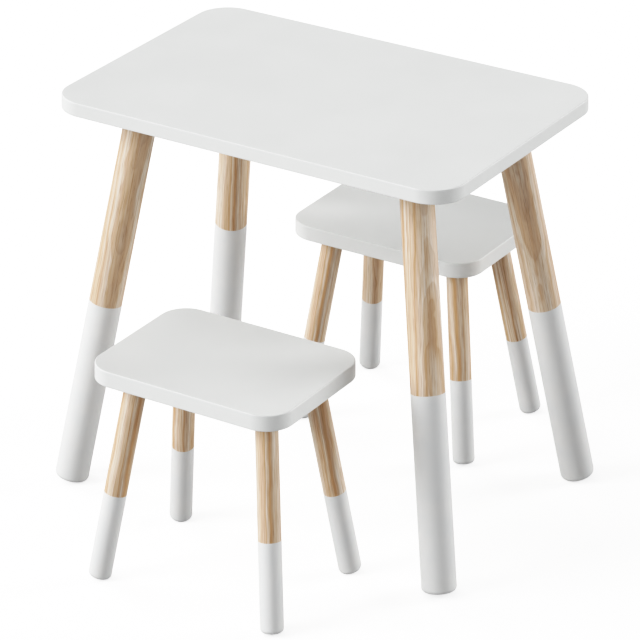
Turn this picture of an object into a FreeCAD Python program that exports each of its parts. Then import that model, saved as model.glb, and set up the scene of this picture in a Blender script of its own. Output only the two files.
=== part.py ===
"""A children's play table with two backless stools, as a parametric FreeCAD document.

All three stand on round timber legs that lean outwards until the feet are flush with the board's outline.
Every leg is joined the same way: a steel plate with a slanted boss is screwed under the board, and a hanger
bolt, half wood screw and half machine thread, holds the leg square against that boss.

Millimetres, +Z up, the floor at Z = 0. The long side of the boards runs along X. One stool stands in front
of the table (-Y) and one behind it (+Y), and the origin is the middle of the floor that the set covers.
"""
import FreeCAD, Part
import os

import Sketcher
from FreeCAD import Units, Vector

os.makedirs("parts", exist_ok=True)
doc = FreeCAD.newDocument("play_table_and_stools")


# ---------------------------------------------------------------- the driving dimensions

# What the table and the stool each have a size of their own for: (name, table, stool, what it is)
OWN_SIZES = [
    ("length", 600, 284, "board, along X"),
    ("width", 400, 209, "board, along Y"),
    ("height", 500, 265, "floor to the top of the board"),
    ("thickness", 18, 19.5, "board"),
    ("corner_radius", 46, 37, "board's corners, seen from above"),
    ("rim_radius", 1.5, 1.5, "rounding of the board's upper and lower rims"),
    ("leg_diameter", 44, 29, "straight round leg"),
    ("leg_inset_x", 94, 47.5, "board's edge to the leg's axis at the underside, along X"),
    ("leg_inset_y", 85, 52, "the same along Y"),
    ("foot_radius", 5, 5, "rounding of the foot's rim"),
    ("plate_side", 62, 46, "square leg plate"),
    ("plate_corner_radius", 6, 5, "leg plate's corners"),
    ("plate_screw_inset", 7.5, 6.5, "plate's edge to a screw's axis"),
    ("boss_diameter", 28, 20, "slanted boss under the plate"),
    ("bolt_bite", 30, 24, "wood thread in the leg"),
    ("bolt_reach", 7, 6, "bolt's end above the board's underside, along the bolt"),
]

# What they share: (name, value, what it is)
SHARED_SIZES = [
    ("plate_thickness", 2.5, "leg plate's sheet"),
    ("rim_gap", 0.6, "plate to the highest point of the leg's end"),
    ("bolt_diameter", 8, "machine thread of the hanger bolt"),
    ("bolt_core_diameter", 6.5, "wood thread of the hanger bolt, and its pilot hole"),
    ("bolt_tip_length", 5, "point of the wood thread"),
    ("bolt_end_chamfer", 1, "end of the machine thread"),
    ("pilot_end_gap", 2, "end of a pilot hole beyond the point in it"),
    ("relief_gap", 2, "room around the bolt's end in the board"),
    ("screw_diameter", 3.5, "plate screw, and its pilot hole"),
    ("screw_length", 15, "plate screw, with its head"),
    ("screw_head_diameter", 7, "countersunk head"),
    ("screw_tip_length", 3, "point of the plate screw"),
    ("recess_width", 0.9, "each arm of the driver's cross"),
    ("recess_length", 3.6, "the cross, tip to tip"),
    ("recess_depth", 1.2, "the cross"),
    ("stool_front_reach", 278.5, "table's middle to the front stool's, along Y"),
    ("stool_back_reach", 218.5, "table's middle to the back stool's, along Y"),
    ("stool_front_offset", 29, "front stool, along X from the table's middle"),
    ("stool_back_offset", 7, "back stool, along X from the table's middle"),
]

# Worked out from those above, for the table and for the stool
OWN_RESULTS = [
    ("underside", "{k}_height - {k}_thickness", "floor to the board's underside"),
    ("leg_radius", "{k}_leg_diameter / 2", "leg"),
    ("axis_x", "{k}_length / 2 - {k}_leg_inset_x", "leg's axis at the underside"),
    ("axis_y", "{k}_width / 2 - {k}_leg_inset_y", "the same along Y"),
    ("lean_x", "({k}_leg_inset_x - {k}_leg_radius) / {k}_underside", "outward run per unit of drop"),
    ("lean_y", "({k}_leg_inset_y - {k}_leg_radius) / {k}_underside", "the same along Y"),
    ("tilt", "atan(sqrt({k}_lean_x ^ 2 + {k}_lean_y ^ 2))", "leg's axis from the vertical"),
    ("foot_rise",
     "({k}_leg_radius - {k}_foot_radius) * sin({k}_tilt) + {k}_foot_radius * (1 - cos({k}_tilt))",
     "floor to the middle of the foot's flat end"),
    ("boss_drop", "(plate_thickness + rim_gap + {k}_leg_radius * sin({k}_tilt)) / cos({k}_tilt)",
     "underside to the leg's upper end, along the leg"),
    ("leg_length", "({k}_underside - {k}_foot_rise) / cos({k}_tilt) - {k}_boss_drop", "leg, end to end"),
    ("screw_spread", "{k}_plate_side / 2 - {k}_plate_screw_inset", "plate's middle to a screw"),
    ("relief_radius", "bolt_diameter / 2 + {k}_bolt_reach * sin({k}_tilt) + relief_gap",
     "relief hole in the board"),
    ("relief_depth", "{k}_bolt_reach + relief_gap", "relief hole in the board"),
]

# Where each piece of furniture stands: its middle on the floor
SPOTS = [
    ("table_spot_x", "0", "table's middle"),
    ("table_spot_y", "(stool_front_reach - stool_back_reach) / 2", "table's middle"),
    ("stool_front_spot_x", "stool_front_offset", "front stool's middle"),
    ("stool_front_spot_y", "table_spot_y - stool_front_reach", "front stool's middle"),
    ("stool_back_spot_x", "stool_back_offset", "back stool's middle"),
    ("stool_back_spot_y", "table_spot_y + stool_back_reach", "back stool's middle"),
]


def fill_sheet():
    """The spreadsheet: a note in column A, and the value, with its alias, in column B."""
    rows = []
    for column, kind in enumerate(("table", "stool")):
        rows += [(f"{kind}_{own[0]}", str(own[1 + column]), own[3]) for own in OWN_SIZES]
    rows += [(name, str(value), note) for name, value, note in SHARED_SIZES]
    for kind in ("table", "stool"):
        rows += [(f"{kind}_{name}", "=" + rule.format(k=kind), note) for name, rule, note in OWN_RESULTS]
    rows += [(name, "=" + rule, note) for name, rule, note in SPOTS]
    sheet = doc.addObject("Spreadsheet::Sheet", "sizes")
    for row, (alias, content, note) in enumerate(rows, start=1):
        sheet.set(f"A{row}", note)
        sheet.set(f"B{row}", content)
        sheet.setAlias(f"B{row}", alias)
    doc.recompute()
    return sheet


sizes = fill_sheet()


def value(alias):
    """A size from the sheet as a plain number."""
    found = getattr(sizes, alias)
    return found.Value if isinstance(found, Units.Quantity) else float(found)


# ---------------------------------------------------------------- helpers for the features

class Rules:
    """Writes the expressions of one piece of furniture: kind picks its sizes and spot its place."""

    def __init__(self, kind, spot):
        self.kind = kind
        self.spot = spot

    def __call__(self, rule):
        """'own.length' is this furniture's own length, 'all.rim_gap' a shared size, 'spot.x' its place."""
        rule = rule.replace("own.", f"sizes.{self.kind}_")
        rule = rule.replace("all.", "sizes.")
        return rule.replace("spot.", f"sizes.{self.spot}_spot_")

    def place(self, thing, x="0", y="0", z="0", leaning=False):
        """Binds a placement. A leaning piece turns until its own -Z runs down a leg towards +X and +Y."""
        turn = "rotation(vector(own.lean_y; -own.lean_x; 0); own.tilt)" if leaning else "rotation(0; 0; 0)"
        thing.setExpression("Placement", self(f"placement(vector({x}; {y}; {z}); {turn})"))


def new_body(name):
    """An empty body, labelled with its node's name."""
    body = doc.addObject("PartDesign::Body", name)
    body.Label = name
    return body


def origin_plane(body, role):
    """One of the body's own origin planes."""
    return next(item for item in body.Origin.OriginFeatures if item.Role == role)


def new_sketch(body, name, role="XY_Plane"):
    sketch = body.newObject("Sketcher::SketchObject", name)
    sketch.AttachmentSupport = (origin_plane(body, role), "")
    sketch.MapMode = "FlatFace"
    return sketch


def pin_point(sketch, geometry, point, at):
    """Holds a sketch point at a place given as two expressions, and '0' puts it on the axis."""
    for kind, axis, rule in (("DistanceX", -2, at[0]), ("DistanceY", -1, at[1])):
        if rule == "0":
            sketch.addConstraint(Sketcher.Constraint("PointOnObject", geometry, point, axis))
            continue
        start = sketch.getPoint(geometry, point)
        now = start.x if kind == "DistanceX" else start.y
        index = sketch.addConstraint(Sketcher.Constraint(kind, -1, 1, geometry, point, now))
        sketch.setExpression(f"Constraints[{index}]", rule)


def draw_outline(sketch, corners):
    """A closed outline of straight lines, its corners given as pairs of expressions."""
    places = [Vector(sketch.evalExpression(x), sketch.evalExpression(y), 0) for x, y in corners]
    count = len(corners)
    for i in range(count):
        sketch.addGeometry(Part.LineSegment(places[i], places[(i + 1) % count]), False)
    for i in range(count):
        sketch.addConstraint(Sketcher.Constraint("Coincident", i, 2, (i + 1) % count, 1))
    for i in range(count):
        pin_point(sketch, i, 1, corners[i])


def draw_circles(sketch, centres, radius):
    """Circles of one radius at places given as pairs of expressions."""
    size = sketch.evalExpression(radius)
    for x, y in centres:
        middle = Vector(sketch.evalExpression(x), sketch.evalExpression(y), 0)
        circle = sketch.addGeometry(Part.Circle(middle, Vector(0, 0, 1), size), False)
        pin_point(sketch, circle, 3, (x, y))
        index = sketch.addConstraint(Sketcher.Constraint("Radius", circle, size))
        sketch.setExpression(f"Constraints[{index}]", radius)


def pad(body, sketch, name, length, downwards=False):
    feature = body.newObject("PartDesign::Pad", name)
    feature.Profile = sketch
    feature.Reversed = downwards
    feature.setExpression("Length", length)
    doc.recompute()
    return feature


def pocket_upwards(body, sketch, name, length):
    """A pocket from the XY plane into what lies above it."""
    before = body.Shape.Volume
    feature = body.newObject("PartDesign::Pocket", name)
    feature.Profile = sketch
    feature.Reversed = True
    feature.setExpression("Length", length)
    doc.recompute()
    if not body.Shape.Volume < before:
        raise RuntimeError(f"{body.Label}: {name} cut nothing")
    return feature


def turn_profile(body, sketch, name):
    """Turns a half profile, drawn on the XZ plane, about the body's Z axis."""
    feature = body.newObject("PartDesign::Revolution", name)
    feature.Profile = sketch
    feature.ReferenceAxis = (sketch, ["V_Axis"])
    feature.Angle = 360
    doc.recompute()
    return feature


def round_edges(body, name, radius, wanted):
    """Rounds those edges of the body's last feature for which wanted(edge) holds."""
    last = body.Tip
    edges = [f"Edge{i}" for i, edge in enumerate(last.Shape.Edges, start=1) if wanted(edge)]
    if not edges:
        raise RuntimeError(f"{body.Label}: {name} found no edges")
    feature = body.newObject("PartDesign::Fillet", name)
    feature.Base = (last, edges)
    feature.setExpression("Radius", radius)
    doc.recompute()
    return feature


def is_upright(edge):
    """A straight edge along Z."""
    return isinstance(edge.Curve, Part.Line) and abs(edge.tangentAt(edge.FirstParameter).z) > 0.999


def mirrored(source, name, normal, at_x, at_y):
    """The mirror image of a piece in an upright plane through (at_x, at_y)."""
    image = doc.addObject("Part::Mirroring", name)
    image.Label = name
    image.Source = source
    image.Normal = normal
    image.setExpression("Base.x", at_x)
    image.setExpression("Base.y", at_y)
    return image


def three_images(source, names, at_x, at_y):
    """The images of a piece in the planes X = at_x and Y = at_y, and of one image in the other."""
    across = mirrored(source, names[0], Vector(1, 0, 0), at_x, at_y)
    along = mirrored(source, names[1], Vector(0, 1, 0), at_x, at_y)
    opposite = mirrored(across, names[2], Vector(0, 1, 0), at_x, at_y)
    return [across, along, opposite]


def group(name, pieces):
    """Separate solids that share one node."""
    compound = doc.addObject("Part::Compound", name)
    compound.Label = name
    compound.Links = pieces
    return compound


# ---------------------------------------------------------------- the pieces

def build_board(rules, name):
    """A table top or seat: rounded corners and rims, and blind holes from below for bolts and screws."""
    board = new_body(name)
    rules.place(board, "spot.x", "spot.y", "own.underside")
    outline = new_sketch(board, name + "_outline")
    half_x, half_y = rules("own.length / 2"), rules("own.width / 2")
    draw_outline(outline, [("-" + half_x, "-" + half_y), (half_x, "-" + half_y),
                           (half_x, half_y), ("-" + half_x, half_y)])
    pad(board, outline, name + "_blank", rules("own.thickness"))
    round_edges(board, name + "_corners", rules("own.corner_radius"), is_upright)
    round_edges(board, name + "_rims", rules("own.rim_radius"), lambda edge: not is_upright(edge))

    signs = [(sx, sy) for sx in ("", "-") for sy in ("", "-")]
    reliefs = new_sketch(board, name + "_relief_places")
    draw_circles(reliefs, [(rules(f"{sx}own.axis_x"), rules(f"{sy}own.axis_y")) for sx, sy in signs],
                 rules("own.relief_radius"))
    pocket_upwards(board, reliefs, name + "_reliefs", rules("own.relief_depth"))

    pilots = new_sketch(board, name + "_pilot_places")
    centres = []
    for sx, sy in signs:
        for side_x in ("-", "+"):
            for side_y in ("-", "+"):
                centres.append((rules(f"{sx}own.axis_x {side_x} own.screw_spread"),
                                rules(f"{sy}own.axis_y {side_y} own.screw_spread")))
    draw_circles(pilots, centres, rules("all.screw_diameter / 2"))
    pocket_upwards(board, pilots, name + "_pilots",
                   rules("all.screw_length - all.plate_thickness + all.pilot_end_gap"))
    return board


def build_leg(rules, name):
    """A straight round leg, cut square at both ends, with a pilot hole down its axis for the bolt."""
    leg = new_body(name)
    drop = "own.boss_drop * cos(own.tilt)"
    rules.place(leg, f"spot.x + own.axis_x + {drop} * own.lean_x",
                f"spot.y + own.axis_y + {drop} * own.lean_y", f"own.underside - {drop}", leaning=True)
    profile = new_sketch(leg, name + "_profile", "XZ_Plane")
    radius, bore = rules("own.leg_radius"), rules("all.bolt_core_diameter / 2")
    foot, bottom = rules("-own.leg_length"), rules("-(own.bolt_bite + all.pilot_end_gap)")
    draw_outline(profile, [(bore, "0"), (radius, "0"), (radius, foot), ("0", foot), ("0", bottom),
                           (bore, bottom)])
    turn_profile(leg, profile, name + "_dowel")
    length = value(f"{rules.kind}_leg_length")
    round_edges(leg, name + "_foot", rules("own.foot_radius"),
                lambda edge: isinstance(edge.Curve, Part.Circle) and abs(edge.BoundBox.ZMax + length) < 0.01)
    return leg


def lean_down(rules, primitive, overshoot="0"):
    """Sets a primitive's base on the leg's upper end, overshoot below it, with its axis along the leg."""
    across = f"(own.boss_drop + {overshoot}) * cos(own.tilt)"
    primitive.setExpression("Placement", rules(
        f"placement(vector({across} * own.lean_x; {across} * own.lean_y; -{across}); "
        "rotation(vector(own.lean_y; -own.lean_x; 0); own.tilt))"))


def build_plate(rules, name):
    """The steel plate under the board, its slanted boss, the threaded hole and four countersunk holes."""
    plate = new_body(name)
    rules.place(plate, "spot.x + own.axis_x", "spot.y + own.axis_y", "own.underside")
    outline = new_sketch(plate, name + "_outline")
    half = rules("own.plate_side / 2")
    draw_outline(outline, [("-" + half, "-" + half), (half, "-" + half), (half, half), ("-" + half, half)])
    pad(plate, outline, name + "_sheet", rules("all.plate_thickness"), downwards=True)
    round_edges(plate, name + "_corners", rules("own.plate_corner_radius"), is_upright)

    boss = plate.newObject("PartDesign::AdditiveCylinder", name + "_boss")
    boss.setExpression("Radius", rules("own.boss_diameter / 2"))
    boss.setExpression("Height", rules("own.boss_drop"))
    lean_down(rules, boss)
    doc.recompute()
    trim = plate.newObject("PartDesign::SubtractiveBox", name + "_trim")
    for size in ("Length", "Width", "Height"):
        trim.setExpression(size, rules("own.plate_side"))
    trim.setExpression("Placement", rules("placement(vector(-own.plate_side / 2; -own.plate_side / 2; 0); "
                                          "rotation(0; 0; 0))"))
    doc.recompute()

    thread = plate.newObject("PartDesign::SubtractiveCylinder", name + "_thread")
    thread.setExpression("Radius", rules("all.bolt_diameter / 2"))
    thread.setExpression("Height", rules("own.boss_drop * 3"))
    lean_down(rules, thread, overshoot="own.boss_drop")
    doc.recompute()

    for i, (sx, sy) in enumerate((("-", "-"), ("-", ""), ("", "-"), ("", "")), start=1):
        at = f"{sx}own.screw_spread; {sy}own.screw_spread; -all.plate_thickness"
        sink = plate.newObject("PartDesign::SubtractiveCone", f"{name}_countersink_{i}")
        sink.setExpression("Radius1", rules("all.screw_head_diameter / 2"))
        sink.setExpression("Radius2", rules("all.screw_diameter / 2"))
        sink.setExpression("Height", rules("(all.screw_head_diameter - all.screw_diameter) / 2"))
        sink.setExpression("Placement", rules(f"placement(vector({at}); rotation(0; 0; 0))"))
        doc.recompute()
        hole = plate.newObject("PartDesign::SubtractiveCylinder", f"{name}_screw_hole_{i}")
        hole.setExpression("Radius", rules("all.screw_diameter / 2"))
        hole.setExpression("Height", rules("all.plate_thickness"))
        hole.setExpression("Placement", rules(f"placement(vector({at}); rotation(0; 0; 0))"))
        doc.recompute()
    return plate


def build_bolt(rules, name):
    """A hanger bolt along the leg's axis: a pointed wood thread below, a machine thread above."""
    bolt = new_body(name)
    rules.place(bolt, "spot.x + own.axis_x", "spot.y + own.axis_y", "own.underside", leaning=True)
    profile = new_sketch(bolt, name + "_profile", "XZ_Plane")
    core, thread = rules("all.bolt_core_diameter / 2"), rules("all.bolt_diameter / 2")
    end, chamfer = rules("own.bolt_reach"), rules("all.bolt_end_chamfer")
    shoulder = rules("-own.boss_drop")
    neck = rules("-(own.boss_drop + own.bolt_bite - all.bolt_tip_length)")
    point = rules("-(own.boss_drop + own.bolt_bite)")
    draw_outline(profile, [("0", end), ("0", point), (core, neck), (core, shoulder), (thread, shoulder),
                           (thread, f"{end} - {chamfer}"), (f"{thread} - {chamfer}", end)])
    turn_profile(bolt, profile, name + "_turned")
    return bolt


def build_screw(rules, name):
    """A countersunk wood screw with a cross recess, upright, its head flush with the plate's lower face."""
    screw = new_body(name)
    rules.place(screw, "spot.x + own.axis_x + own.screw_spread", "spot.y + own.axis_y + own.screw_spread",
                "own.underside - all.plate_thickness")
    profile = new_sketch(screw, name + "_profile", "XZ_Plane")
    head, shank = rules("all.screw_head_diameter / 2"), rules("all.screw_diameter / 2")
    sink = rules("(all.screw_head_diameter - all.screw_diameter) / 2")
    shoulder, point = rules("all.screw_length - all.screw_tip_length"), rules("all.screw_length")
    draw_outline(profile, [("0", "0"), (head, "0"), (shank, sink), (shank, shoulder), ("0", point)])
    turn_profile(screw, profile, name + "_turned")

    half_long, half_wide = rules("all.recess_length / 2"), rules("all.recess_width / 2")
    for arm, (x, y) in (("a", (half_long, half_wide)), ("b", (half_wide, half_long))):
        cross = new_sketch(screw, f"{name}_cross_{arm}")
        draw_outline(cross, [("-" + x, "-" + y), (x, "-" + y), (x, y), ("-" + x, y)])
        pocket_upwards(screw, cross, f"{name}_recess_{arm}", rules("all.recess_depth"))
    return screw


def build_furniture(kind, spot, board_name):
    """A board on four leaning legs. The back right corner is modelled and the other three mirror it."""
    rules = Rules(kind, spot)
    middle = (rules("spot.x"), rules("spot.y"))
    corners = ("back_left", "front_right", "front_left")
    nodes = [build_board(rules, f"{spot}_{board_name}")]
    for part, build in (("leg", build_leg), ("plate", build_plate)):
        first = build(rules, f"{spot}_{part}_back_right")
        nodes += [first, *three_images(first, [f"{spot}_{part}_{corner}" for corner in corners], *middle)]

    bolt = build_bolt(rules, f"{spot}_bolt")
    bolts = [bolt, *three_images(bolt, [f"{spot}_bolt_{corner}" for corner in corners], *middle)]
    nodes.append(group(f"{spot}_hanger_bolts", bolts))

    screw = build_screw(rules, f"{spot}_screw")
    plate_middle = (rules("spot.x + own.axis_x"), rules("spot.y + own.axis_y"))
    images = three_images(screw, [f"{spot}_screw_{i}" for i in (2, 3, 4)], *plate_middle)
    plate_screws = group(f"{spot}_one_plates_screws", [screw, *images])
    others = three_images(plate_screws, [f"{spot}_screws_{corner}" for corner in corners], *middle)
    nodes.append(group(f"{spot}_plate_screws", [plate_screws, *others]))
    return nodes


nodes = (build_furniture("table", "table", "top")
         + build_furniture("stool", "stool_front", "seat")
         + build_furniture("stool", "stool_back", "seat"))
doc.recompute()

# ---------------------------------------------------------------- checks, then one STEP file per node

for item in doc.Objects:
    if "Invalid" in item.State or "Error" in item.State:
        raise RuntimeError(f"{item.Label} failed to build: {item.State}")
for node in nodes:
    if node.Shape.isNull() or not node.Shape.isValid():
        raise RuntimeError(f"{node.Label} has no valid shape")
for node in nodes:
    node.Shape.exportStep(f"parts/{node.Label}.step")
    print(f"{node.Label}: {len(node.Shape.Solids)} solid(s), {node.Shape.Volume / 1000:.2f} cm3")
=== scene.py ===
# %% [markdown]
# # A children's play table and its two stools
#
# The set is three pieces of furniture made the same way: a white lacquered board on four straight round
# legs of pale ash, which lean outwards and are dipped in white paint at the foot. Under each board, a zinc
# plated steel plate with a slanted boss holds each leg by a hanger bolt, and four screws hold the plate.
#
# The engineering model is already packed, so this lesson starts from it. Each new piece takes its place from
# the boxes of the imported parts, and stands for the part that it covers.
# Everything is in metres, with the floor at Z = 0.

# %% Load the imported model
import math

import bmesh
import bpy
from mathutils import Matrix, Vector


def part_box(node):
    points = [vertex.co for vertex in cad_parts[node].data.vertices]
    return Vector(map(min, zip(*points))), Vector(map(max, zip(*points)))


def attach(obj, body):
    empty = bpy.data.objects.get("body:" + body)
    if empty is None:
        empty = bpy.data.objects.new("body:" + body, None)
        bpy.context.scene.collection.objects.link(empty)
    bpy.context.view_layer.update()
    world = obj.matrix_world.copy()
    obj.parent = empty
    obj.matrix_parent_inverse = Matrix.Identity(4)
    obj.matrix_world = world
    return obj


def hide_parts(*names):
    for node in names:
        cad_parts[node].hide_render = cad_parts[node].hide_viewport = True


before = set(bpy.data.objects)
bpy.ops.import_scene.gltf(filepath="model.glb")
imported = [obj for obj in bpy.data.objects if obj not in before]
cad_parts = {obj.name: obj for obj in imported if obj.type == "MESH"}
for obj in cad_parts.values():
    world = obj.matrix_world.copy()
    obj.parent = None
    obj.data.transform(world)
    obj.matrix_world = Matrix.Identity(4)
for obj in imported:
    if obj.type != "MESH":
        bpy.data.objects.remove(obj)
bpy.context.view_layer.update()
MM = 0.001

# %% [markdown]
# ## Helpers for every node tree
#
# Paint makers and designers quote colours as sRGB hex codes, but a shader works with linear light, so one
# function converts every colour in this file. The second adds a node to a tree. It sets the node's own
# properties, and fills or links its sockets in the same line, which keeps a long tree readable. The third
# is a ramp between two colours, and the last links a finished surface to its shader.

# %% Colours and nodes


def linear(code):
    """The linear red, green, blue and alpha of an sRGB hex colour such as "#DCC9AE"."""
    channels = [int(code[i:i + 2], 16) / 255 for i in (1, 3, 5)]
    return (*(c / 12.92 if c <= 0.04045 else ((c + 0.055) / 1.055) ** 2.4 for c in channels), 1.0)


def add_node(tree, kind, inputs=None, **settings):
    """Adds a node. Each input, by name or number, is a value, or a socket or node to link it from."""
    node = tree.nodes.new(kind)
    for name, setting in settings.items():
        setattr(node, name, setting)
    shown = [socket for socket in node.inputs if socket.enabled]
    for key, given in (inputs or {}).items():
        socket = shown[key] if isinstance(key, int) else next(s for s in shown if s.name == key)
        if isinstance(given, bpy.types.Node):
            given = next(out for out in given.outputs if out.enabled)
        if isinstance(given, bpy.types.NodeSocket):
            tree.links.new(given, socket)
        else:
            socket.default_value = given
    return node


def two_tones(tree, amount, *stops):
    """Adds a ramp between two stops. Each stop is a place from 0 to 1 and a colour code."""
    ramp = add_node(tree, "ShaderNodeValToRGB", {"Fac": amount})
    for element, (position, code) in zip(ramp.color_ramp.elements, stops):
        element.position, element.color = position, linear(code)
    return ramp


def finish_surface(tree, shader, colour, roughness, relief):
    """Links the nodes of a surface's colour, roughness and bump to its shader."""
    for name, node in (("Base Color", colour), ("Roughness", roughness), ("Normal", relief)):
        tree.links.new(next(out for out in node.outputs if out.enabled), shader.inputs[name])


PALE_ASH = "#E3D9CD"
print("ash at its palest is", [round(c, 3) for c in linear(PALE_ASH)[:3]], "in linear light")

# %% [markdown]
# ## The sizes that the boxes don't give
#
# A box gives a part's corners but not how round they are. These are the few sizes that the drawing of the
# set adds: the corners and rims of the boards, the legs' diameter and the height of their paint, and the
# pattern of the holes. The three pieces of furniture share everything else.

# %% Sizes from the drawing, in metres
TABLE = {"corner": 46 * MM, "leg_radius": 22 * MM, "coat_height": 228.4 * MM, "screw_inset": 7.5 * MM,
         "relief_radius": 7.4 * MM, "relief_depth": 9 * MM}
STOOL = {"corner": 37 * MM, "leg_radius": 14.5 * MM, "coat_height": 102.4 * MM, "screw_inset": 6.5 * MM,
         "relief_radius": 7.2 * MM, "relief_depth": 8 * MM}
SIZES = {"table": TABLE, "stool_front": STOOL, "stool_back": STOOL}
BOARDS = {"table": "table_top", "stool_front": "stool_front_seat", "stool_back": "stool_back_seat"}
CORNERS = ("front_left", "front_right", "back_left", "back_right")

RIM = 1.5 * MM              # rounding of the boards' rims
FOOT_ROUNDING = 5 * MM      # rounding at the end of a foot
COAT = 0.15 * MM            # thickness of the paint on a leg
COAT_EDGE = 0.1 * MM        # height over which the paint thins to nothing
PLATE_THICKNESS = 2.5 * MM
SCREW_RADIUS = 1.75 * MM
SCREW_HEAD_RADIUS = 3.5 * MM
SCREW_LENGTH = 15 * MM
SCREW_TIP = 3 * MM
POINT_TAPER = 0.92          # how much of the shank's radius is gone at the screw's point
CROSS_LENGTH = 3.6 * MM     # the cross for the driver
CROSS_WIDTH = 0.9 * MM
CROSS_DEPTH = 1.2 * MM
PILOT_DEPTH = 14.5 * MM     # a screw's hole in the board, with room beyond its point


def plate_places(furniture):
    """The middle of each leg plate on the board's underside, and how far from it the screws stand."""
    boxes = [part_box(f"{furniture}_plate_{corner}") for corner in CORNERS]
    places = [Vector(((low.x + high.x) / 2, (low.y + high.y) / 2, high.z)) for low, high in boxes]
    low, high = boxes[-1]       # the four plates are alike
    return places, (high.x - low.x) / 2 - SIZES[furniture]["screw_inset"]


for furniture in SIZES:
    found, spread = plate_places(furniture)
    print(furniture, "plates at", [tuple(round(c, 4) for c in p) for p in found], "screws", round(spread, 4))

# %% [markdown]
# ## White lacquer on the boards
#
# The boards are medium density fibreboard, sprayed with white polyurethane lacquer and rubbed to a satin.
# Sprayed lacquer never dries dead flat. It keeps a faint skin of ripples about 2 mm apart, called orange
# peel, and its sheen drifts a little over a hand's width. Both are small, so they go into the bump and the
# roughness, and the colour stays almost even. The refractive index of such a lacquer is about 1.5.

# %% Lacquer material


def new_material(name):
    """An empty node material and its Principled shader."""
    material = bpy.data.materials.new(name)
    material.use_nodes = True
    tree = material.node_tree
    tree.nodes.clear()
    shader = add_node(tree, "ShaderNodeBsdfPrincipled")
    add_node(tree, "ShaderNodeOutputMaterial", {"Surface": shader})
    return material, tree, shader


lacquer, tree, shader = new_material("white_polyurethane_lacquer_on_fibreboard")
place = add_node(tree, "ShaderNodeTexCoord").outputs["Object"]
drift = add_node(tree, "ShaderNodeTexNoise", {"Vector": place, "Scale": 1 / (90 * MM), "Detail": 3.0})
ripple = add_node(tree, "ShaderNodeTexNoise", {"Vector": place, "Scale": 1 / (2 * MM), "Detail": 1.0})
tone = two_tones(tree, drift, (0.35, "#DCDDDC"), (0.65, "#DEDFDE"))
sheen = add_node(tree, "ShaderNodeMapRange", {"Value": drift, "From Min": 0.3, "From Max": 0.7,
                                              "To Min": 0.40, "To Max": 0.48})
peel = add_node(tree, "ShaderNodeBump", {"Height": ripple, "Strength": 0.35, "Distance": 0.02 * MM})
finish_surface(tree, shader, tone, sheen, peel)
shader.inputs["IOR"].default_value = 1.5
print("made", lacquer.name)

# %% [markdown]
# ## The boards
#
# A board is a rectangle with round corners, sawn from sheet and rounded along both rims. A Bevel modifier
# on a cube could do it, but it rounds the corners and the rims in one go, and here they differ: 46 mm and
# 1.5 mm on the table. So the outline is drawn once for each height as a ring of points, and the rings are
# joined. Every point's true normal is known from the drawing, and is given to the mesh, which keeps the big
# faces perfectly flat in the light and the rims perfectly round. The underside is drilled as on the real
# board: a wide hole for each bolt's end and four pilot holes around it.

# %% Draw a board
ARC_STEPS = 24              # steps in each round corner of the outline
RIM_STEPS = 6
RELIEF_STEPS = 32           # sides of the wide hole for a bolt's end
PILOT_STEPS = 12


def outline_ring(middle, half, corner, inset, z):
    """Points and outward directions of a rounded rectangle, made smaller all round by inset."""
    radius = corner - inset
    ring = []
    for quarter, (sx, sy) in enumerate(((1, 1), (-1, 1), (-1, -1), (1, -1))):
        centre = Vector((middle.x + sx * (half.x - corner), middle.y + sy * (half.y - corner), z))
        for step in range(ARC_STEPS + 1):
            turn = math.pi / 2 * (quarter + step / ARC_STEPS)
            outward = Vector((math.cos(turn), math.sin(turn), 0))
            ring.append((centre + outward * radius, outward))
    return ring


def rim_profile(low, high):
    """The (inset, height, slope of the normal) of each ring, from the underside up to the top."""
    turns = [math.pi / 2 * step / RIM_STEPS for step in range(RIM_STEPS + 1)]
    lower = [(RIM * (1 - math.sin(t)), low + RIM * (1 - math.cos(t)), t - math.pi / 2) for t in turns]
    upper = [(RIM * (1 - math.cos(t)), high - RIM * (1 - math.sin(t)), t) for t in turns]
    return lower + upper


def drill(mesh, centre, radius, depth, steps):
    """A blind hole from below. Returns the edges of its mouth."""
    rings = []
    for z in (centre.z, centre.z + depth):
        rings.append([mesh.verts.new((centre.x + radius * math.cos(2 * math.pi * i / steps),
                                      centre.y + radius * math.sin(2 * math.pi * i / steps), z))
                      for i in range(steps)])
    mouth, end = rings
    for i in range(steps):
        mesh.faces.new((mouth[i], end[i], end[i - 1], mouth[i - 1]))
    mesh.faces.new(end[::-1])
    return [mesh.edges.get((mouth[i], mouth[i - 1])) for i in range(steps)]


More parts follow.
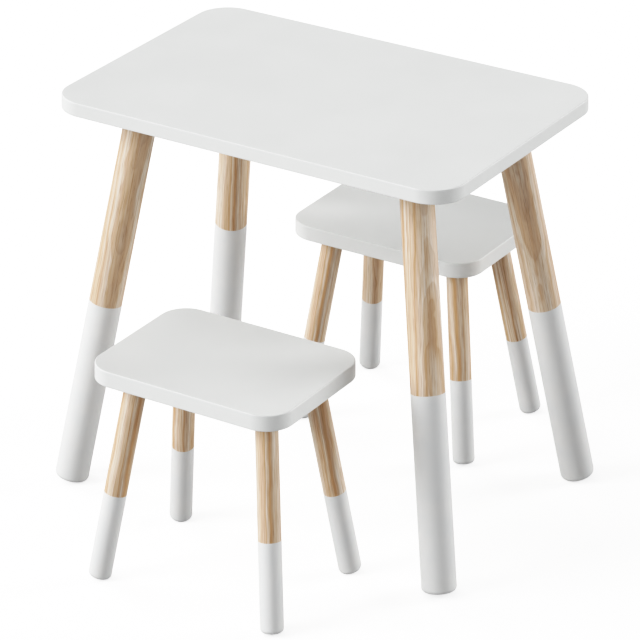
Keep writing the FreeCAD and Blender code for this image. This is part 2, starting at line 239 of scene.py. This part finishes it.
def make_board(furniture):
    """The drilled board of one piece of furniture, as a finished object."""
    node, size = BOARDS[furniture], SIZES[furniture]
    low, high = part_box(node)
    middle, half = (low + high) / 2, (high - low) / 2
    mesh, normals, rings = bmesh.new(), [], []
    for inset, z, slope in rim_profile(low.z, high.z):
        ring = []
        for point, outward in outline_ring(middle, half, size["corner"], inset, z):
            ring.append(mesh.verts.new(point))
            normals.append(outward * math.cos(slope) + Vector((0, 0, math.sin(slope))))
        rings.append(ring)
    count = len(rings[0])
    for lower, upper in zip(rings, rings[1:]):
        for i in range(count):
            mesh.faces.new((lower[i - 1], lower[i], upper[i], upper[i - 1]))
    mesh.faces.new(rings[-1])
    open_edges = [mesh.edges.get((rings[0][i], rings[0][i - 1])) for i in range(count)]
    places, spread = plate_places(furniture)
    for place in places:
        open_edges += drill(mesh, place, size["relief_radius"], size["relief_depth"], RELIEF_STEPS)
        for side_x in (-spread, spread):
            for side_y in (-spread, spread):
                screw_place = place + Vector((side_x, side_y, 0))
                open_edges += drill(mesh, screw_place, SCREW_RADIUS, PILOT_DEPTH, PILOT_STEPS)
    bmesh.ops.triangle_fill(mesh, use_beauty=True, edges=open_edges, normal=(0, 0, -1))
    bmesh.ops.recalc_face_normals(mesh, faces=mesh.faces)
    data = bpy.data.meshes.new(f"{furniture}_lacquered_board")
    mesh.to_mesh(data)
    mesh.free()
    shading = []
    for face in data.polygons:
        face.use_smooth = True
        for corner in face.vertices:
            shading.append(normals[corner] if corner < len(normals) else face.normal)
    data.normals_split_custom_set(shading)
    piece = bpy.data.objects.new(data.name, data)
    bpy.context.scene.collection.objects.link(piece)
    data.materials.append(lacquer)
    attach(piece, furniture)
    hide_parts(node)
    return piece


for furniture in SIZES:
    piece = make_board(furniture)
    print(piece.name, "has", len(piece.data.polygons), "faces and measures",
          [round(x / MM, 1) for x in piece.dimensions], "mm")

# %% [markdown]
# ## Ash, as a solid block of timber
#
# The legs are turned from ash, planed straight and finished with a clear matt lacquer. Ash is ring porous:
# each spring it lays down a band of open pores, which looks like a darker line with a sharp start, and the
# summer wood after it is dense and pale. Where a leg's surface cuts the rings square, they show as fine
# straight lines. Where it runs along a ring, they open into the tall pointed flames that ash is known for.
#
# A texture painted round the leg would never get both right. So the material is solid, like the real thing:
# each point of a leg carries its place in the tree trunk, in an attribute named "timber", with the pith at
# x = y = 0. The rings are circles round the pith, a little under 3 mm apart, and whatever shape is cut out of
# them shows its own correct figure.
#
# A real trunk is never so regular. Two wanders move the rings sideways, a slow bend and a quicker wave. Good
# and lean years come in runs, and a run of lean years is darker, with stronger rings. The pores are drawn
# about three times coarser than real ones, or they would be too fine to show. The clear lacquer is a thin
# coat over it all, with a soft sheen of its own.

# %% Rings and pores
RING_WIDTH = 2.7 * MM
BEND_REACH = 16 * MM
WAVE_REACH = 6 * MM
BEND = (14, 14, 3)          # patches a metre: across, across and along the trunk
WAVE = (24, 24, 20)
PORES = (1 / (0.9 * MM), 1 / (0.9 * MM), 1 / (30 * MM))
STREAKS = (1 / (1.9 * MM), 1 / (1.9 * MM), 1 / (160 * MM))
WEATHER_RATE = 0.35         # changes of the weather a year
WEATHER_REACH = 2.6         # how many years' growth good and lean years can move a ring by
DEEPEST_PORE = 0.45         # how much of its own dark colour the darkest pore shows


def stretched_noise(tree, place, per_metre):
    """Adds a noise with this many patches a metre across, across and along the trunk."""
    stretched = add_node(tree, "ShaderNodeMapping", {"Vector": place, "Scale": per_metre})
    return add_node(tree, "ShaderNodeTexNoise", {"Vector": stretched, "Scale": 1.0, "Detail": 2.0})


def stray(tree, place, per_metre, reach):
    """Adds the nodes that move each point sideways in the trunk, by up to about half of reach."""
    cloud = stretched_noise(tree, place, per_metre)
    centred = add_node(tree, "ShaderNodeVectorMath", {0: cloud.outputs["Color"], 1: (0.5, 0.5, 0.5)},
                       operation="SUBTRACT")
    return add_node(tree, "ShaderNodeVectorMath", {0: centred, 1: (reach, reach, 0), 2: place},
                    operation="MULTIPLY_ADD")


def timber_rings(tree):
    """Adds the nodes of the figure. Returns the place, how porous each point is, and good and lean years."""
    place = add_node(tree, "ShaderNodeAttribute", attribute_name="timber").outputs["Vector"]
    bent = stray(tree, place, BEND, BEND_REACH)
    wavy = stray(tree, bent, WAVE, WAVE_REACH)
    across = add_node(tree, "ShaderNodeVectorMath", {0: wavy, 1: (1, 1, 0)}, operation="MULTIPLY")
    from_pith = add_node(tree, "ShaderNodeVectorMath", {0: across}, operation="LENGTH").outputs["Value"]
    years = add_node(tree, "ShaderNodeMath", {0: from_pith, 1: RING_WIDTH}, operation="DIVIDE")
    weather = add_node(tree, "ShaderNodeTexNoise", {"W": years, "Scale": WEATHER_RATE, "Detail": 2.0},
                       noise_dimensions="1D")
    uneven = add_node(tree, "ShaderNodeMath", {0: weather, 1: WEATHER_REACH, 2: years},
                      operation="MULTIPLY_ADD")
    season = add_node(tree, "ShaderNodeMath", {0: uneven}, operation="FRACT")
    year = add_node(tree, "ShaderNodeMath", {0: uneven}, operation="FLOOR")
    vigour = add_node(tree, "ShaderNodeTexWhiteNoise", {"W": year}, noise_dimensions="1D").outputs["Value"]
    spring = add_node(tree, "ShaderNodeValToRGB", {"Fac": season})
    ramp = spring.color_ramp    # how open the pores are, from the start of spring at 0 to the winter at 1
    ramp.elements[0].position, ramp.elements[0].color = 0.0, (0.15, 0.15, 0.15, 1)
    ramp.elements[1].position, ramp.elements[1].color = 0.08, (1, 1, 1, 1)
    for position, grey in ((0.30, 0.72), (0.55, 0.22), (0.85, 0.0), (1.0, 0.15)):
        ramp.elements.new(position).color = (grey, grey, grey, 1)
    bold = add_node(tree, "ShaderNodeMapRange", {"Value": vigour, "To Min": 0.35, "To Max": 1.0})
    porous = add_node(tree, "ShaderNodeMath", {0: spring.outputs["Color"], 1: bold}, operation="MULTIPLY")
    return place, porous, weather.outputs[0]


ash, tree, shader = new_material("clear_lacquered_ash")
place, porous, weather = timber_rings(tree)
pores = stretched_noise(tree, place, PORES)
streak = stretched_noise(tree, place, STREAKS)
summer = two_tones(tree, streak, (0.34, "#D5C1AA"), (0.62, PALE_ASH))
lean_years = add_node(tree, "ShaderNodeMapRange", {"Value": weather, "From Min": 0.42, "From Max": 0.7})
zoned = add_node(tree, "ShaderNodeMix", {"Factor": lean_years, "A": summer.outputs["Color"],
                                         "B": linear("#C7A581")}, data_type="RGBA")
strength = add_node(tree, "ShaderNodeMapRange", {"Value": lean_years, "To Min": 0.4, "To Max": 0.68})
ring_tint = add_node(tree, "ShaderNodeMath", {0: porous, 1: strength}, operation="MULTIPLY")
ringed = add_node(tree, "ShaderNodeMix", {"Factor": ring_tint, "A": zoned, "B": linear("#AA845C")},
                  data_type="RGBA")
dash = add_node(tree, "ShaderNodeMapRange", {"Value": pores, "From Min": 0.52, "From Max": 0.68,
                                             "To Min": 0.0, "To Max": DEEPEST_PORE})
pitted = add_node(tree, "ShaderNodeMix", {"Factor": dash, "A": ringed, "B": linear("#9A7350")},
                  data_type="RGBA")
matt = add_node(tree, "ShaderNodeMapRange", {"Value": dash, "From Max": DEEPEST_PORE,
                                             "To Min": 0.46, "To Max": 0.62})
relief = add_node(tree, "ShaderNodeBump", {"Height": pores, "Strength": 0.4, "Distance": 0.06 * MM})
finish_surface(tree, shader, pitted, matt, relief)
shader.inputs["IOR"].default_value = 1.5
shader.inputs["Coat Weight"].default_value = 0.3
shader.inputs["Coat Roughness"].default_value = 0.4
print("made", ash.name, "with", len(tree.nodes), "nodes")

# %% [markdown]
# ## White paint on the feet
#
# The foot of each leg is dipped, or masked and sprayed, in a white water based enamel, and the line is
# crisp and square to the leg. Paint fills the pores of ash only in part, so the same streaks are still
# there as a very shallow relief. The colour is the boards' white, and the sheen is a little livelier.

# %% Enamel material
enamel, tree, shader = new_material("white_dip_enamel_over_ash")
place = add_node(tree, "ShaderNodeAttribute", attribute_name="timber").outputs["Vector"]
pores = stretched_noise(tree, place, PORES)
cloud = add_node(tree, "ShaderNodeTexNoise", {"Vector": place, "Scale": 1 / (30 * MM), "Detail": 2.0})
tone = two_tones(tree, cloud, (0.35, "#DEDFDF"), (0.65, "#E1E1E0"))
sheen = add_node(tree, "ShaderNodeMapRange", {"Value": cloud, "From Min": 0.3, "From Max": 0.7,
                                              "To Min": 0.36, "To Max": 0.44})
relief = add_node(tree, "ShaderNodeBump", {"Height": pores, "Strength": 0.25, "Distance": 0.02 * MM})
finish_surface(tree, shader, tone, sheen, relief)
shader.inputs["IOR"].default_value = 1.5
print("made", enamel.name)

# %% [markdown]
# ## A leg as a rule
#
# All twelve legs follow one rule: a round bar, rounded at the foot, a hair thicker where it is painted. A
# Geometry Nodes tree states such a rule once, with a named input for each size. A straight line is cut into
# a dozen points, each point's height and radius are worked out from its number, and a circle is swept along
# the line at those radii. The first nine points make the rounding, the tenth and eleventh the edge of the
# paint, and the last is the upper end.
#
# While the leg still stands upright at the origin, each point's place in the trunk is written down. Only
# then is the leg leaned over and put in its place, so the grain leans with it.

# %% The leg tree
ROUNDING_RINGS = 8
RINGS = ROUNDING_RINGS + 4
LEG_SIDES = 96
CRISP_EDGE = math.radians(35)       # an edge bent further than this stays crisp


def start_tree(name, inputs):
    """A Geometry Nodes tree with these named inputs, given as {name: kind of socket}."""
    tree = bpy.data.node_groups.new(name, "GeometryNodeTree")
    tree.interface.new_socket("Geometry", in_out="OUTPUT", socket_type="NodeSocketGeometry")
    for label, kind in inputs.items():
        tree.interface.new_socket(label, in_out="INPUT", socket_type=f"NodeSocket{kind}")
    return tree, add_node(tree, "NodeGroupInput").outputs


def climb(tree, number, start, steps):
    """Starts at a value and adds each step's amount from its ring on: steps are (ring, amount)."""
    total = start
    for ring, amount in steps:
        passed = add_node(tree, "ShaderNodeMath", {0: number, 1: ring - 0.5}, operation="GREATER_THAN")
        total = add_node(tree, "ShaderNodeMath", {0: passed, 1: amount, 2: total}, operation="MULTIPLY_ADD")
    return total


def sweep(tree, number, rings, height, radius, sides):
    """A closed round bar along Z, with its rings at those heights and radii, and crisp edges kept."""
    line = add_node(tree, "GeometryNodeCurvePrimitiveLine")
    cut = add_node(tree, "GeometryNodeResampleCurve", {"Curve": line, "Count": rings})
    at = add_node(tree, "ShaderNodeCombineXYZ", {"Z": height})
    spine = add_node(tree, "GeometryNodeSetPosition", {"Geometry": cut, "Position": at})
    circle = add_node(tree, "GeometryNodeCurvePrimitiveCircle", {"Resolution": sides, "Radius": 1.0})
    bar = add_node(tree, "GeometryNodeCurveToMesh", {"Curve": spine, "Profile Curve": circle.outputs[0],
                                                     "Scale": radius, "Fill Caps": True})
    angle = add_node(tree, "GeometryNodeInputMeshEdgeAngle").outputs["Unsigned Angle"]
    gentle = add_node(tree, "ShaderNodeMath", {0: angle, 1: CRISP_EDGE}, operation="LESS_THAN")
    smooth = add_node(tree, "GeometryNodeSetShadeSmooth", {"Geometry": bar}, domain="FACE")
    return add_node(tree, "GeometryNodeSetShadeSmooth", {"Geometry": smooth, "Shade Smooth": gentle},
                    domain="EDGE")


leg_tree, size = start_tree("straight_round_leg", {
    "Length": "Float", "Radius": "Float", "Foot Rounding": "Float", "Coat Height": "Float",
    "Coat Thickness": "Float", "Coat Edge": "Float", "Sides": "Int", "Foot Middle": "Vector",
    "Direction": "Vector", "Pith Place": "Vector", "Pith Lean": "Vector"})
tree = leg_tree
number = add_node(tree, "GeometryNodeInputIndex")
turn = add_node(tree, "ShaderNodeMapRange", {"Value": number, "From Max": float(ROUNDING_RINGS),
                                             "To Max": math.pi / 2})
cosine = add_node(tree, "ShaderNodeMath", {0: turn}, operation="COSINE")
sine = add_node(tree, "ShaderNodeMath", {0: turn}, operation="SINE")
risen = add_node(tree, "ShaderNodeMath", {0: 1.0, 1: cosine}, operation="SUBTRACT")
short = add_node(tree, "ShaderNodeMath", {0: sine, 1: 1.0}, operation="SUBTRACT")
foot_height = add_node(tree, "ShaderNodeMath", {0: risen, 1: size["Foot Rounding"]}, operation="MULTIPLY")
foot_radius = add_node(tree, "ShaderNodeMath", {0: short, 1: size["Foot Rounding"], 2: size["Radius"]},
                       operation="MULTIPLY_ADD")
painted = add_node(tree, "ShaderNodeMath", {0: size["Coat Height"], 1: size["Foot Rounding"]},
                   operation="SUBTRACT")
edge_top = add_node(tree, "ShaderNodeMath", {0: size["Coat Height"], 1: size["Coat Edge"]}, operation="ADD")
bare = add_node(tree, "ShaderNodeMath", {0: size["Length"], 1: edge_top}, operation="SUBTRACT")
thinner = add_node(tree, "ShaderNodeMath", {0: size["Coat Thickness"], 1: -1.0}, operation="MULTIPLY")
height = climb(tree, number, foot_height, [
    (ROUNDING_RINGS + 1, painted), (ROUNDING_RINGS + 2, size["Coat Edge"]), (ROUNDING_RINGS + 3, bare)])
radius = climb(tree, number, foot_radius, [(ROUNDING_RINGS + 2, thinner)])
bar = sweep(tree, number, RINGS, height, radius, size["Sides"])
print("the leg tree has", len(tree.nodes), "nodes so far")

# %% Its place in the trunk, and its place in the room
upright = add_node(tree, "GeometryNodeInputPosition")
along = add_node(tree, "ShaderNodeSeparateXYZ", {"Vector": upright}).outputs["Z"]
leaned = add_node(tree, "ShaderNodeVectorMath", {0: size["Pith Lean"], "Scale": along}, operation="SCALE")
shifted = add_node(tree, "ShaderNodeVectorMath", {0: leaned, 1: size["Pith Place"]}, operation="ADD")
in_trunk = add_node(tree, "ShaderNodeVectorMath", {0: upright, 1: shifted}, operation="ADD")
marked = add_node(tree, "GeometryNodeStoreNamedAttribute", {"Geometry": bar, "Name": "timber",
                                                            "Value": in_trunk},
                  data_type="FLOAT_VECTOR", domain="POINT")
lean = add_node(tree, "FunctionNodeAlignRotationToVector", {"Vector": size["Direction"]}, axis="Z")
placed = add_node(tree, "GeometryNodeTransform", {"Geometry": marked, "Translation": size["Foot Middle"],
                                                  "Rotation": lean})
kept = add_node(tree, "GeometryNodeInputNamedAttribute", {"Name": "timber"}, data_type="FLOAT_VECTOR")
up_leg = add_node(tree, "ShaderNodeSeparateXYZ", {"Vector": kept}).outputs["Z"]
below = add_node(tree, "ShaderNodeMath", {0: up_leg, 1: edge_top}, operation="LESS_THAN")
wooden = add_node(tree, "GeometryNodeSetMaterial", {"Geometry": placed, "Material": ash})
dipped = add_node(tree, "GeometryNodeSetMaterial", {"Geometry": wooden, "Selection": below,
                                                    "Material": enamel})
add_node(tree, "NodeGroupOutput", {"Geometry": dipped})
print("the leg tree has", len(tree.nodes), "nodes")

# %% [markdown]
# ## Twelve legs from one tree
#
# Each leg's axis meets the underside at the middle of its plate, and its foot stands flush with the board's
# outline, which fixes the lean. The tree's inputs are filled by each socket's own identifier, because a
# name may be used twice, and the result is kept as a plain mesh. The pith's place is chosen for each leg:
# near it in direction the flames open, and at right angles to it the lines run straight.

# %% Make the legs
PITH = {  # direction from the pith in degrees, distance in mm, and how much it leans in mm per metre
    "table_front_left": (-40, 62, 22), "table_front_right": (-26, 70, -26),
    "table_back_left": (48, 55, 14), "table_back_right": (-58, 58, 30),
    "stool_front_front_left": (30, 48, 12), "stool_front_front_right": (40, 60, -10),
    "stool_front_back_left": (20, 66, 18), "stool_front_back_right": (8, 52, -20),
    "stool_back_front_left": (36, 57, 16), "stool_back_front_right": (52, 63, 10),
    "stool_back_back_left": (150, 50, -14), "stool_back_back_right": (24, 68, 12)}


def run_tree(tree, name, values, points=()):
    """Runs a tree on a mesh of loose points and keeps the result as a plain mesh object."""
    start = bpy.data.meshes.new(name)
    start.from_pydata(list(points), [], [])
    piece = bpy.data.objects.new(name, start)
    bpy.context.scene.collection.objects.link(piece)
    modifier = piece.modifiers.new("rule", "NODES")
    modifier.node_group = tree
    for item in tree.interface.items_tree:
        if item.in_out == "INPUT" and item.name in values:
            modifier[item.identifier] = values[item.name]
    depsgraph = bpy.context.evaluated_depsgraph_get()
    result = bpy.data.meshes.new_from_object(piece.evaluated_get(depsgraph),
                                             preserve_all_data_layers=True, depsgraph=depsgraph)
    piece.modifiers.clear()
    piece.data = result
    bpy.data.meshes.remove(start)
    result.name = name
    return piece


def leg_axis(furniture, corner, radius):
    """The middle of the foot's end, the direction up the leg, and the leg's length."""
    board_low, board_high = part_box(BOARDS[furniture])
    plate_low, plate_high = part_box(f"{furniture}_plate_{corner}")
    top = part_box(f"{furniture}_leg_{corner}")[1].z
    joint = (plate_low + plate_high) / 2
    joint.z = board_low.z
    edge_x = board_low.x + radius if corner.endswith("left") else board_high.x - radius
    edge_y = board_low.y + radius if corner.startswith("front") else board_high.y - radius
    down = Vector((edge_x, edge_y, 0)) - joint
    tilt = down.angle(Vector((0, 0, -1)))
    rise = (radius - FOOT_ROUNDING) * math.sin(tilt) + FOOT_ROUNDING * (1 - math.cos(tilt))
    foot = joint + down * (1 - rise / joint.z)
    length = (top - radius * math.sin(tilt) - rise) / math.cos(tilt)
    return foot, -down.normalized(), length


for furniture, sizes in SIZES.items():
    for corner in CORNERS:
        foot, direction, length = leg_axis(furniture, corner, sizes["leg_radius"])
        heading, distance, slant = PITH[f"{furniture}_{corner}"]
        away = Vector((math.cos(math.radians(heading)), math.sin(math.radians(heading)), 0))
        leg = run_tree(leg_tree, f"{furniture}_ash_leg_{corner}", {
            "Length": length, "Radius": sizes["leg_radius"], "Foot Rounding": FOOT_ROUNDING,
            "Coat Height": sizes["coat_height"], "Coat Thickness": COAT, "Coat Edge": COAT_EDGE,
            "Sides": LEG_SIDES, "Foot Middle": foot, "Direction": direction,
            "Pith Place": away * distance * MM, "Pith Lean": away * slant * MM})
        low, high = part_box(f"{furniture}_leg_{corner}")
        off = max(abs(leg.bound_box[0][i] - low[i]) + abs(leg.bound_box[6][i] - high[i]) for i in range(3))
        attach(leg, furniture)
        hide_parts(f"{furniture}_leg_{corner}")
        print(leg.name, round(length / MM, 1), "mm long, off the CAD leg's box by", round(off / MM, 2), "mm")

# %% [markdown]
# ## Zinc plated steel
#
# The plates, bolts and screws are pressed or turned steel with a bright zinc plating. It is a metal, so its
# colour lives in the reflection, and the default refractive index stays. Plating from a barrel leaves a
# fine mottle of crystals a few millimetres across, and rubbing in the barrel leaves the gloss uneven.

# %% Zinc material
zinc, tree, shader = new_material("bright_zinc_plated_steel")
place = add_node(tree, "ShaderNodeTexCoord").outputs["Object"]
crystals = add_node(tree, "ShaderNodeTexVoronoi", {"Vector": place, "Scale": 1 / (3 * MM)},
                    feature="SMOOTH_F1")
rubbing = add_node(tree, "ShaderNodeTexNoise", {"Vector": place, "Scale": 1 / (12 * MM), "Detail": 3.0})
tone = two_tones(tree, crystals, (0.1, "#C9CDD1"), (0.8, "#B4B9BF"))
gloss = add_node(tree, "ShaderNodeMapRange", {"Value": rubbing, "From Min": 0.3, "From Max": 0.7,
                                              "To Min": 0.26, "To Max": 0.42})
grain = add_node(tree, "ShaderNodeBump", {"Height": crystals, "Strength": 0.2, "Distance": 0.02 * MM})
finish_surface(tree, shader, tone, gloss, grain)
shader.inputs["Metallic"].default_value = 1.0

steel_nodes = [f"{furniture}_plate_{corner}" for furniture in SIZES for corner in CORNERS]
steel_nodes += [f"{furniture}_hanger_bolts" for furniture in SIZES]
for name in steel_nodes:
    for material_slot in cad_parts[name].material_slots:
        material_slot.material = zinc
print("zinc on", len(steel_nodes), "CAD nodes")

# %% [markdown]
# ## Forty-eight screws
#
# Four countersunk screws hold each plate, and they are all alike, so one is made and then placed as
# instances on points. The screw is swept like a leg, head down, and a cross for the driver is cut out of
# Real screws never stop at the same angle, so each is turned by a random amount from a fixed
# seed. The export can't carry instances, so the tree makes them real and gives them their metal last.

# %% The screw tree
SCREW_SIDES = 24
SCREW_RINGS = 4             # the head's face, the foot of its cone, the end of the shank and the point
SCREW_SEED = 4

screw_tree, size = start_tree("plate_screws", {
    "Geometry": "Geometry", "Head Radius": "Float", "Shank Radius": "Float", "Length": "Float",
    "Tip Length": "Float", "Cross Length": "Float", "Cross Width": "Float", "Cross Depth": "Float",
    "Seed": "Int"})
tree = screw_tree
number = add_node(tree, "GeometryNodeInputIndex")
cone = add_node(tree, "ShaderNodeMath", {0: size["Head Radius"], 1: size["Shank Radius"]},
                operation="SUBTRACT")
narrower = add_node(tree, "ShaderNodeMath", {0: cone, 1: -1.0}, operation="MULTIPLY")
pointed = add_node(tree, "ShaderNodeMath", {0: size["Shank Radius"], 1: -POINT_TAPER},
                   operation="MULTIPLY")
above_head = add_node(tree, "ShaderNodeMath", {0: size["Length"], 1: cone}, operation="SUBTRACT")
shank = add_node(tree, "ShaderNodeMath", {0: above_head, 1: size["Tip Length"]}, operation="SUBTRACT")
height = climb(tree, number, 0.0, [(1, cone), (2, shank), (3, size["Tip Length"])])
radius = climb(tree, number, size["Head Radius"], [(1, narrower), (3, pointed)])
blank = sweep(tree, number, SCREW_RINGS, height, radius, SCREW_SIDES)
twice = add_node(tree, "ShaderNodeMath", {0: size["Cross Depth"], 1: 2.0}, operation="MULTIPLY")
arm_x = add_node(tree, "ShaderNodeCombineXYZ", {"X": size["Cross Length"], "Y": size["Cross Width"],
                                                "Z": twice})
arm_y = add_node(tree, "ShaderNodeCombineXYZ", {"X": size["Cross Width"], "Y": size["Cross Length"],
                                                "Z": twice})
cutters = [add_node(tree, "GeometryNodeMeshCube", {"Size": arm}).outputs["Mesh"] for arm in (arm_x, arm_y)]
cross = add_node(tree, "GeometryNodeMeshBoolean", operation="UNION")
screw = add_node(tree, "GeometryNodeMeshBoolean", operation="DIFFERENCE")
for cutter in cutters:
    tree.links.new(cutter, cross.inputs["Mesh 2"])
tree.links.new(blank.outputs[0], screw.inputs["Mesh 1"])
tree.links.new(cross.outputs["Mesh"], screw.inputs["Mesh 2"])
spin = add_node(tree, "FunctionNodeRandomValue", {"Max": math.tau, "Seed": size["Seed"]}, data_type="FLOAT")
about_z = add_node(tree, "ShaderNodeCombineXYZ", {"Z": spin})
turned = add_node(tree, "FunctionNodeEulerToRotation", {"Euler": about_z})
copies = add_node(tree, "GeometryNodeInstanceOnPoints", {"Points": size["Geometry"],
                                                         "Instance": screw.outputs["Mesh"],
                                                         "Rotation": turned})
real = add_node(tree, "GeometryNodeRealizeInstances", {"Geometry": copies})
plated = add_node(tree, "GeometryNodeSetMaterial", {"Geometry": real, "Material": zinc})
add_node(tree, "NodeGroupOutput", {"Geometry": plated})
print("the screw tree has", len(tree.nodes), "nodes")

# %% Place the screws
for furniture in SIZES:
    places, spread = plate_places(furniture)
    heads = [place + Vector((side_x, side_y, -PLATE_THICKNESS))
             for place in places for side_x in (-spread, spread) for side_y in (-spread, spread)]
    screws = run_tree(screw_tree, f"{furniture}_cross_head_screws", {
        "Head Radius": SCREW_HEAD_RADIUS, "Shank Radius": SCREW_RADIUS, "Length": SCREW_LENGTH,
        "Tip Length": SCREW_TIP, "Cross Length": CROSS_LENGTH, "Cross Width": CROSS_WIDTH,
        "Cross Depth": CROSS_DEPTH, "Seed": SCREW_SEED}, heads)
    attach(screws, furniture)
    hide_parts(f"{furniture}_plate_screws")
    print(screws.name, "has", len(screws.data.polygons), "faces")

# %% [markdown]
# ## The floor and the room
#
# The set stands on a sheet of pale acrylic that is lit from below, as used for goods shown on pure white.
# The sheet's own glow only has to whiten the picture, so it is given to the camera's rays alone, and the
# set is lit by what the sheet reflects. The sheet is also a paler grey to the camera than it is to the
# light that it throws back. The room beyond is dim, and it too is white only to the camera. The sheet isn't
# part of the object.

# %% Floor and room
SHEET_GLOW = 0.39
ROOM_LIGHT = 0.21
FLOOR_HALF = 30.0           # metres

opal = bpy.data.materials.new("pale_acrylic_lit_from_below")
opal.use_nodes = True
tree = opal.node_tree
tree.nodes.clear()
looking = add_node(tree, "ShaderNodeLightPath").outputs["Is Camera Ray"]
glow_seen = add_node(tree, "ShaderNodeMath", {0: looking, 1: SHEET_GLOW}, operation="MULTIPLY")
glow = add_node(tree, "ShaderNodeEmission", {"Color": linear("#FFFFFF"), "Strength": glow_seen})
tint = add_node(tree, "ShaderNodeMix", {"Factor": looking, "A": linear("#BEBEBE"), "B": linear("#E7E7E7")},
                data_type="RGBA")
face = add_node(tree, "ShaderNodeBsdfDiffuse", {"Color": tint})
both = add_node(tree, "ShaderNodeAddShader", {0: glow, 1: face})
add_node(tree, "ShaderNodeOutputMaterial", {"Surface": both})
opal.cycles.emission_sampling = "NONE"

sheet = bpy.data.meshes.new("acrylic_floor")
sheet.from_pydata([(-FLOOR_HALF, -FLOOR_HALF, 0), (FLOOR_HALF, -FLOOR_HALF, 0),
                   (FLOOR_HALF, FLOOR_HALF, 0), (-FLOOR_HALF, FLOOR_HALF, 0)], [], [(0, 1, 2, 3)])
sheet.materials.append(opal)
floor = bpy.data.objects.new("acrylic_floor", sheet)
bpy.context.scene.collection.objects.link(floor)

world = bpy.data.worlds.new("white_studio")
bpy.context.scene.world = world
world.use_nodes = True
tree = world.node_tree
tree.nodes.clear()
seen = add_node(tree, "ShaderNodeBackground", {"Color": linear("#FFFFFF"), "Strength": 1.0})
room = add_node(tree, "ShaderNodeBackground", {"Color": linear("#FFFFFF"), "Strength": ROOM_LIGHT})
looking = add_node(tree, "ShaderNodeLightPath").outputs["Is Camera Ray"]
either = add_node(tree, "ShaderNodeMixShader", {0: looking, 1: room, 2: seen})
add_node(tree, "ShaderNodeOutputWorld", {"Surface": either})
print("floor", 2 * FLOOR_HALF, "m square")

# %% [markdown]
# ## The lamps
#
# The key light is a large softbox at the front left. A side light and a weak front light soften its edge,
# and a low lamp stands at the back right. Between them, at the front right, the round legs fall into their
# own shade, which is what makes them look round. The lamps stand low, so they reach the stool under the
# table. A sun lamp with a wide angle gives a softbox's light without its falloff.

# %% Lamps


def softbox(name, towards, height, strength, spread):
    """A wide sun lamp: towards is its direction from +X in degrees, and strength 1 lights white to white."""
    lamp = bpy.data.lights.new(name, "SUN")
    lamp.energy = strength * math.pi
    lamp.angle = math.radians(spread)
    turn, rise = math.radians(towards), math.radians(height)
    source = Vector((math.cos(turn) * math.cos(rise), math.sin(turn) * math.cos(rise), math.sin(rise)))
    stand = bpy.data.objects.new(name, lamp)
    stand.rotation_euler = source.to_track_quat("Z", "Y").to_euler()
    bpy.context.scene.collection.objects.link(stand)


softbox("key_softbox", towards=-134, height=23, strength=0.48, spread=35)
softbox("side_softbox", towards=170, height=33, strength=0.24, spread=40)
softbox("front_softbox", towards=-90, height=30, strength=0.095, spread=40)
softbox("back_softbox", towards=50, height=16, strength=0.44, spread=30)

# %% [markdown]
# ## The film
#
# Film and print hold back the brightest tones, so white paint keeps its shape beside a pure white ground.
# The same is done here by a curve on the linear picture. Its toe holds the darkest tones down, which deepens
# the colour of shaded timber. It lifts the middle tones by about two thirds, since the lamps are set low to
# leave room for it. Its shoulder bends the bright tones over, so that white paint stops short of the pure
# white of the ground.

# %% Tone curve
FILM = ((0.06, 0.048), (0.12, 0.14), (0.18, 0.265),         # toe: light in, and light on the print
        (0.24, 0.392), (0.294, 0.49), (0.441, 0.73),        # middle tones
        (0.588, 0.88), (0.735, 0.96), (0.882, 0.995))       # shoulder

view = bpy.context.scene.view_settings
view.view_transform = "Standard"
view.look = "None"
view.exposure = 0.0
view.gamma = 1.0
view.use_curve_mapping = True
film = view.curve_mapping
response = film.curves[3]           # the last of the four curves, which works on all the colours
for light, printed in FILM:
    response.points.new(light, printed)
film.update()
print("film:", [(round(p.location[0], 2), round(p.location[1], 2)) for p in response.points])

# %% [markdown]
# ## The camera
#
# A studio camera for furniture keeps its back upright, so that upright lines stay parallel, and lowers its
# lens to look down at the set. Blender's own lens shift would do that, but a shift stays on when
# the camera moves elsewhere. Here the same picture comes from a camera that looks along the line from the
# lens to the middle of the film, and a tripod head that keeps the film itself upright.

# %% Camera
FILM_WIDTH = 36.0           # mm
LENS_TO_FILM = 229.15       # mm
LENS_DROP = 100.39          # mm below the middle of the film
EYE_TO_THE_RIGHT = 2.8191   # metres from the table's middle
EYE_IN_FRONT = 4.4920       # metres from the table's middle
EYE_HEIGHT = 2.5283         # metres above the floor
TURN_TO_THE_LEFT = 32.179   # degrees from looking straight back along +Y
FARTHEST_SEEN = 200.0       # metres, well past the floor's far edge

table_low, table_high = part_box("table_top")
table_middle = (table_low + table_high) / 2
eye = Vector((table_middle.x + EYE_TO_THE_RIGHT, table_middle.y - EYE_IN_FRONT, EYE_HEIGHT))
yaw = math.radians(TURN_TO_THE_LEFT)
forward = Vector((-math.sin(yaw), math.cos(yaw), 0))
right = Vector((math.cos(yaw), math.sin(yaw), 0))
up = Vector((0, 0, 1))
aim = forward * LENS_TO_FILM - up * LENS_DROP
camera = bpy.data.objects.new("camera", bpy.data.cameras.new("camera"))
camera.data.sensor_width = FILM_WIDTH
camera.data.lens = aim.length
camera.data.clip_end = FARTHEST_SEEN
tripod = bpy.data.objects.new("tripod", None)
for thing in (tripod, camera):
    bpy.context.scene.collection.objects.link(thing)
head = Matrix.Identity(4)
for axis in range(3):
    head[axis][0], head[axis][1] = right[axis], up[axis]
    head[axis][2], head[axis][3] = -aim.normalized()[axis], eye[axis]
camera.parent = tripod
camera.matrix_parent_inverse = head
bpy.context.scene.camera = camera
print("camera at", [round(c, 3) for c in eye])

# %% Update the scene
bpy.context.view_layer.update()
